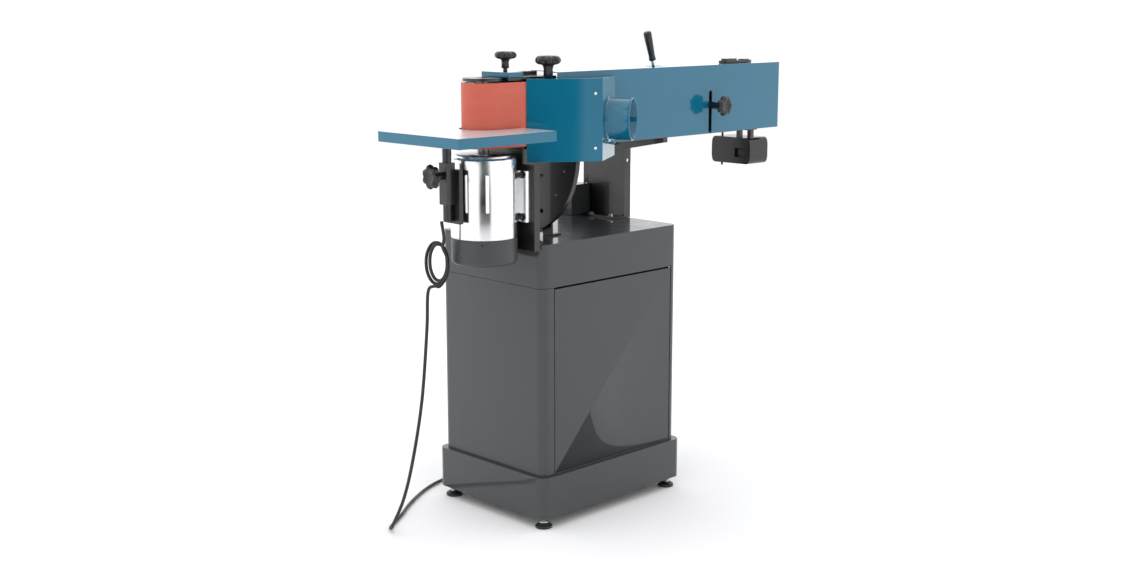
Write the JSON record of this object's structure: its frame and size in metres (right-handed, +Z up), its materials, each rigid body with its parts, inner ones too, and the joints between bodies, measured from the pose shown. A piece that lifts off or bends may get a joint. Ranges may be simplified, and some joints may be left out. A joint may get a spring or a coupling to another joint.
{
  "type": "edge belt sander",
  "caption": "Stationary edge belt sander: a belt on two upright drums in a long tilting beam, with a hung motor, end table and dust hood, on a steel cabinet stand.",
  "frame": {"origin": "on the floor under the middle of the whole machine's box", "axes": "+X along the beam away from the drive drum, +Y towards the operator, +Z up"},
  "size_m": [1.2264, 0.589, 1.1998],
  "materials": {
    "blue_paint": "gloss",
    "cabinet_paint": "gloss",
    "black_paint": "semi-gloss",
    "black_plastic": "gloss",
    "polished_metal": "polished",
    "machined_steel": "machined",
    "motor_iron": "rough",
    "cowl_plastic": "satin",
    "table_metal": "ground top with painted edges",
    "abrasive_cloth": "coarse grit",
    "graphite_cloth": "matt",
    "black_rubber": "matt",
    "green_plastic": "gloss",
    "red_plastic": "gloss"
  },
  "bodies": {
    "stand": {"plinth": "cabinet_paint", "cabinet_shell": "cabinet_paint", "cabinet_top": "cabinet_paint", "door_hinge_pin": "machined_steel", "left_upright": "black_paint", "right_upright": "black_paint", "left_table_rail": "black_paint", "right_table_rail": "black_paint", "work_table": "table_metal", "junction_box": "black_paint", "left_pivot_bolt": "machined_steel", "right_pivot_bolt": "machined_steel", "index_bracket": "black_paint", "power_cord": "black_rubber"},
    "head": {"beam_frame": "black_paint", "platen": "machined_steel", "graphite_pad": "graphite_cloth", "abrasive_belt": "abrasive_cloth", "back_cover": "blue_paint", "motor_plate": "black_paint", "tilt_quadrant": "black_paint", "right_trunnion": "black_paint", "bearing_arm": "black_paint", "guard_block": "blue_paint", "tracking_bracket": "black_paint", "switch_box": "black_paint", "cord_coil": "black_rubber", "motor_shell": "polished_metal", "fan_cowl": "cowl_plastic", "stator": "motor_iron", "upper_motor_bearing": "machined_steel", "lower_motor_bearing": "machined_steel", "table_bracket": "black_paint"},
    "door": {"cabinet_door": "cabinet_paint"},
    "foot_left_back": {"foot_left_back": "black_rubber"},
    "foot_left_front": {"foot_left_front": "black_rubber"},
    "foot_right_back": {"foot_right_back": "black_rubber"},
    "foot_right_front": {"foot_right_front": "black_rubber"},
    "drive": {"motor_shaft": "machined_steel", "rotor": "motor_iron", "cooling_fan": "black_paint", "drive_drum": "machined_steel"},
    "carriage": {"idler_carriage": "machined_steel", "idler_axle": "machined_steel", "tension_spring": "machined_steel"},
    "idler": {"idler_drum": "machined_steel", "idler_bearing": "machined_steel"},
    "lever": {"tension_lever": "polished_metal", "lever_grip": "black_plastic"},
    "cover_knob": {"cover_knob": "black_plastic"},
    "hood": {"dust_hood": "blue_paint", "dust_port": "blue_paint"},
    "hood_knob": {"hood_knob": "black_plastic"},
    "guard_knob": {"guard_knob": "black_plastic"},
    "end_table": {"end_table": "table_metal", "table_post": "black_paint"},
    "table_lock_knob": {"table_lock_knob": "black_plastic"},
    "start_button": {"start_button": "green_plastic"},
    "stop_button": {"stop_button": "red_plastic"},
    "index_pin": {"index_pin": "machined_steel"}
  },
  "joints": [
    {"name": "head_tilt", "type": "hinge", "parent": "stand", "child": "head", "pos_m": [-0.0522, 0, 0.9134], "axis": [1, 0, 0], "range_deg": [0, 45]},
    {"name": "drive_spin", "type": "hinge", "parent": "head", "child": "drive", "pos_m": [-0.3968, -0.0965, 1.0145], "axis": [0, 0, 1], "continuous": true},
    {"name": "tension_lever", "type": "hinge", "parent": "head", "child": "lever", "pos_m": [0.1608, -0.1265, 1.097], "axis": [0, 1, 0], "range_deg": [0, 60]},
    {"name": "carriage_slide", "type": "slide", "parent": "head", "child": "carriage", "axis": [-1, 0, 0], "range_m": [0, 0.012]},
    {"name": "idler_spin", "type": "hinge", "parent": "carriage", "child": "idler", "pos_m": [0.5462, -0.0965, 1.0145], "axis": [0, 0, 1], "continuous": true},
    {"name": "cover_knob_turn", "type": "hinge", "parent": "head", "child": "cover_knob", "pos_m": [0.3238, -0.2, 1.006], "axis": [0, -1, 0], "range_deg": [0, 720]},
    {"name": "hood_lift", "type": "slide", "parent": "head", "child": "hood", "axis": [0, 0, 1], "range_m": [0, 0.15]},
    {"name": "hood_knob_turn", "type": "hinge", "parent": "hood", "child": "hood_knob", "pos_m": [-0.254, -0.1645, 1.12], "axis": [0, 0, 1], "range_deg": [0, 720]},
    {"name": "guard_knob_turn", "type": "hinge", "parent": "head", "child": "guard_knob", "pos_m": [-0.3442, -0.1145, 1.13], "axis": [0, 0, 1], "range_deg": [0, 720]},
    {"name": "end_table_height", "type": "slide", "parent": "head", "child": "end_table", "axis": [0, 0, 1], "range_m": [-0.025, 0.025]},
    {"name": "table_lock_turn", "type": "hinge", "parent": "head", "child": "table_lock_knob", "pos_m": [-0.5422, -0.0965, 0.882], "axis": [-1, 0, 0], "range_deg": [0, 720]},
    {"name": "door_swing", "type": "hinge", "parent": "stand", "child": "door", "pos_m": [0.1608, -0.1825, 0.367], "axis": [0, 0, 1], "range_deg": [0, 95]},
    {"name": "foot_left_back_turn", "type": "hinge", "parent": "stand", "child": "foot_left_back", "pos_m": [-0.2772, -0.17, 0.03], "axis": [0, 0, 1], "range_deg": [-180, 180]},
    {"name": "foot_left_front_turn", "type": "hinge", "parent": "stand", "child": "foot_left_front", "pos_m": [-0.2772, 0.17, 0.03], "axis": [0, 0, 1], "range_deg": [-180, 180]},
    {"name": "foot_right_back_turn", "type": "hinge", "parent": "stand", "child": "foot_right_back", "pos_m": [0.1728, -0.17, 0.03], "axis": [0, 0, 1], "range_deg": [-180, 180]},
    {"name": "foot_right_front_turn", "type": "hinge", "parent": "stand", "child": "foot_right_front", "pos_m": [0.1728, 0.17, 0.03], "axis": [0, 0, 1], "range_deg": [-180, 180]},
    {"name": "start_push", "type": "slide", "parent": "head", "child": "start_button", "axis": [0, -1, 0], "range_m": [0, 0.004], "stiffness_N_per_m": 300},
    {"name": "stop_push", "type": "slide", "parent": "head", "child": "stop_button", "axis": [0, -1, 0], "range_m": [0, 0.004], "stiffness_N_per_m": 300},
    {"name": "index_pin_slide", "type": "slide", "parent": "stand", "child": "index_pin", "axis": [-1, 0, 0], "range_m": [0, 0.012]}
  ],
  "couplings": [
    {"joint": "idler_spin", "follows": "drive_spin", "ratio": 1},
    {"joint": "tension_lever", "follows": "carriage_slide", "rad_per_m": 87.26}
  ]
}
